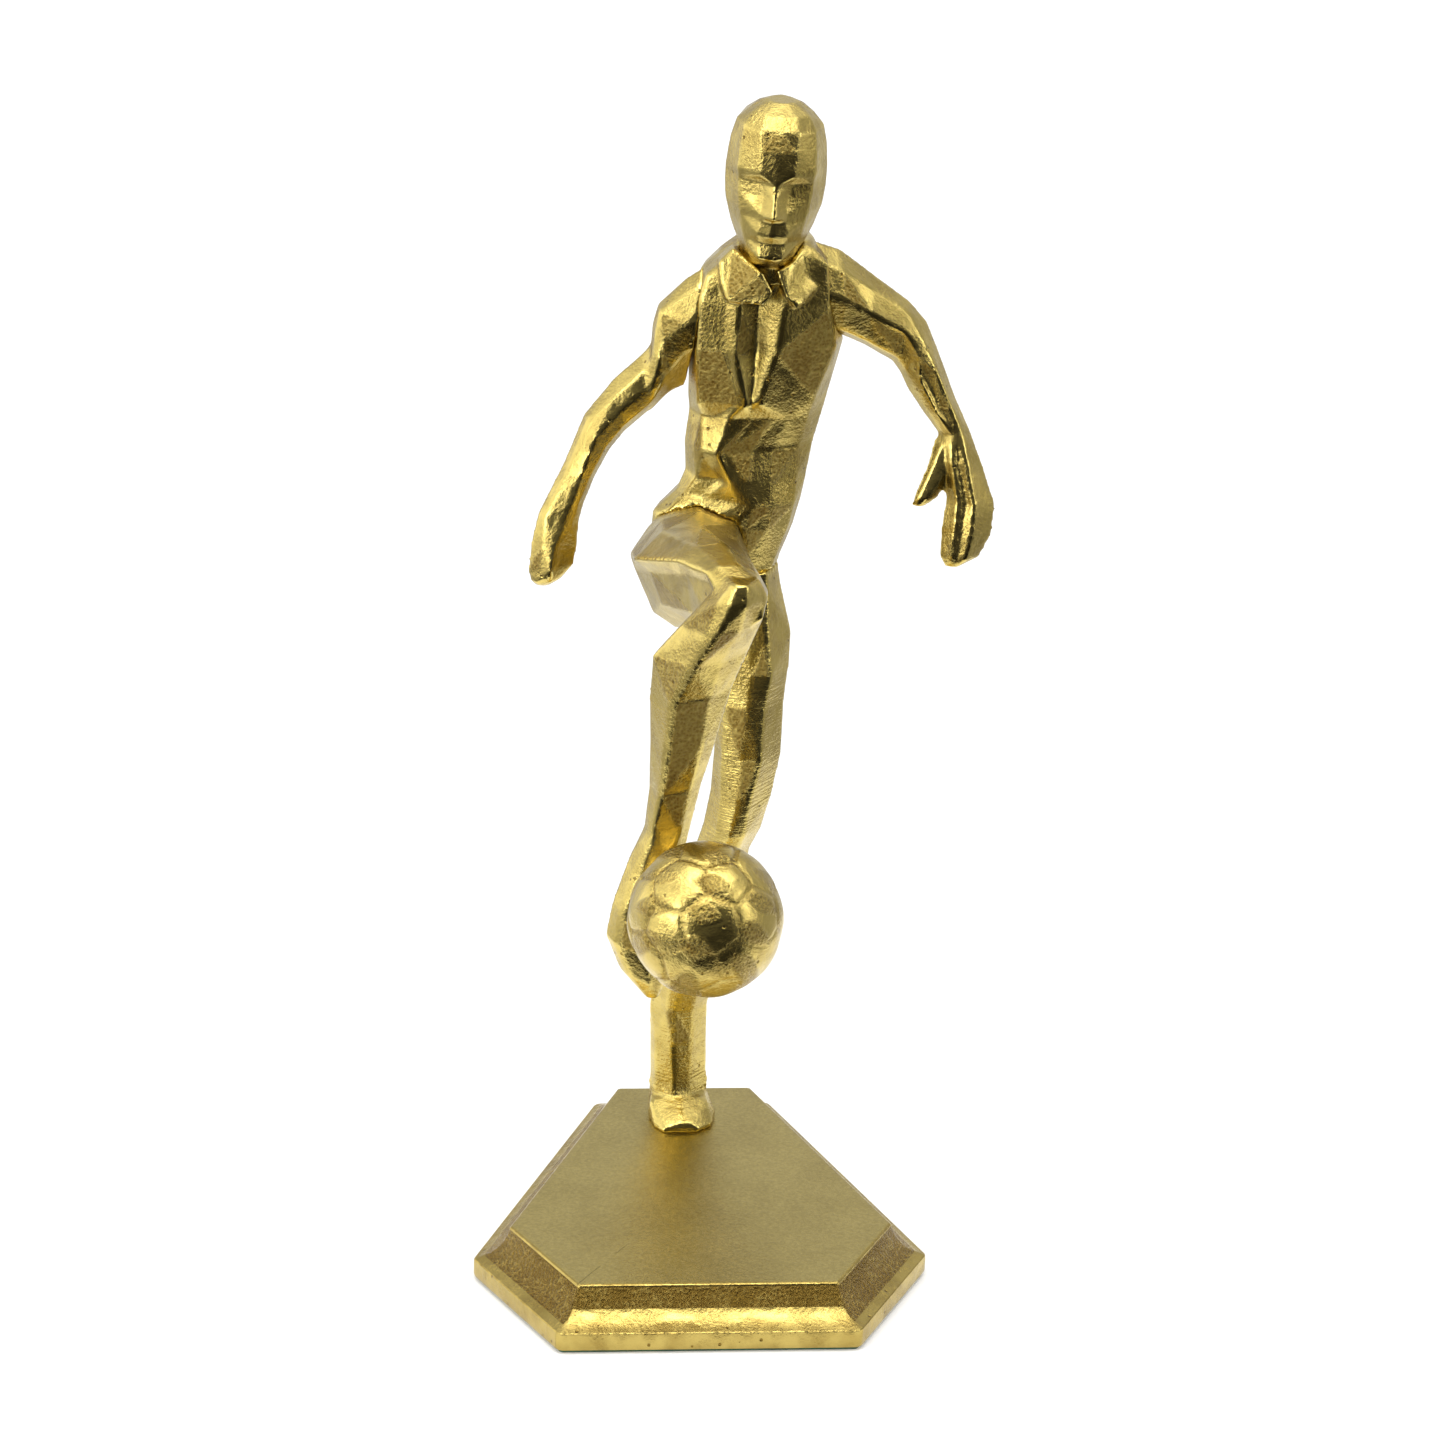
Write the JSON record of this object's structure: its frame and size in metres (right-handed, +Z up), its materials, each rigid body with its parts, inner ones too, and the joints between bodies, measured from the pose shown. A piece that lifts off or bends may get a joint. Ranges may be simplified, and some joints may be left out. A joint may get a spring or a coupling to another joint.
{
  "type": "figure trophy",
  "caption": "Faceted cast-metal footballer with a ball at the raised boot, standing on a six-sided coved metal base.",
  "frame": {"origin": "middle of the underside of the felt, halfway between the front and back edges of the base and between its side corners", "axes": "+Z up; the figure and the wide front edge of the base face -Y; +X is to the right of someone looking at the front"},
  "size_m": [0.1576, 0.155, 0.3545],
  "materials": {
    "base_metal": "gold-toned plating, satin top, polished rim, cast grain in the cove",
    "cast_metal": "gold-toned cast metal, ground facets with polished ridges and pebbled hollows",
    "ball_metal": "gold-toned cast metal, polished, with cut seams",
    "fixing_steel": "zinc-plated steel",
    "felt": "dark green felt"
  },
  "bodies": {
    "root": {"base_plate": "base_metal", "felt_sheet": "felt", "foot_stud": "fixing_steel", "foot_washer": "fixing_steel", "foot_nut": "fixing_steel", "foot_pin": "fixing_steel", "standing_leg": "cast_metal", "kicking_leg": "cast_metal", "torso": "cast_metal", "head": "cast_metal", "right_arm": "cast_metal", "left_arm": "cast_metal", "ball": "ball_metal", "standing_hip_pin": "fixing_steel", "kicking_hip_pin": "fixing_steel", "neck_pin": "fixing_steel", "right_shoulder_pin": "fixing_steel", "left_shoulder_pin": "fixing_steel", "ball_pin": "fixing_steel"}
  },
  "joints": []
}
